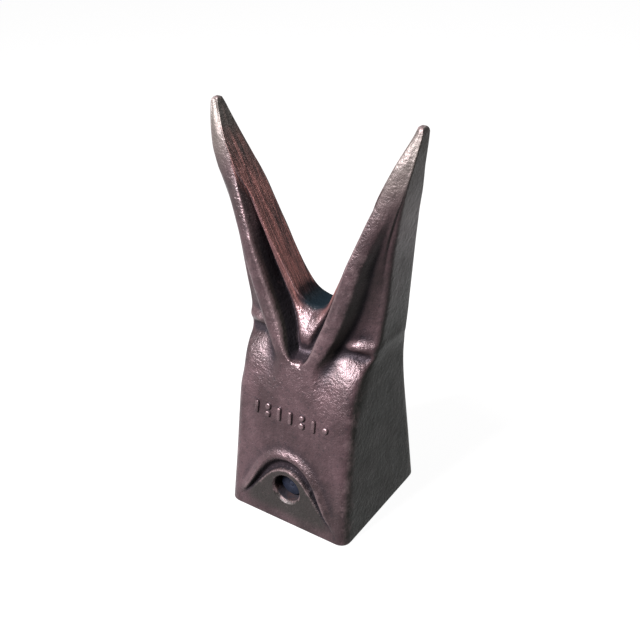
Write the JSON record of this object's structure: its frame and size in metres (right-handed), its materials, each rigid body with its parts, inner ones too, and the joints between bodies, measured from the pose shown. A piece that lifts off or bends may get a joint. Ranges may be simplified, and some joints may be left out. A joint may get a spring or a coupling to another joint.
{
  "type": "excavator bucket tooth",
  "caption": "Forged twin-point V bucket tooth with a tapered adapter socket, held on by a drive-through lock pin and a rubber-cushioned snap-ring washer.",
  "frame": {"origin": "centre of the socket mouth, on the plane of its rim", "axes": "+Z from the mouth towards the points, +X across the two points, -Y towards the face the pin is driven out of"},
  "size_m": [0.14, 0.0912, 0.261],
  "materials": {
    "forging": "satin",
    "pin_steel": "satin",
    "washer_steel": "satin",
    "cushion": "matte",
    "spring_steel": "satin"
  },
  "bodies": {
    "tooth": {"tooth_point": "forging", "retainer_shell": "washer_steel", "retainer_cushion": "cushion", "spring_ring": "spring_steel"},
    "pin": {"lock_pin": "pin_steel"}
  },
  "joints": [
    {"name": "pin_drive", "type": "slide", "parent": "tooth", "child": "pin", "axis": [0, -1, 0], "range_m": [0, 0.081], "deforming": ["spring_ring"]}
  ]
}
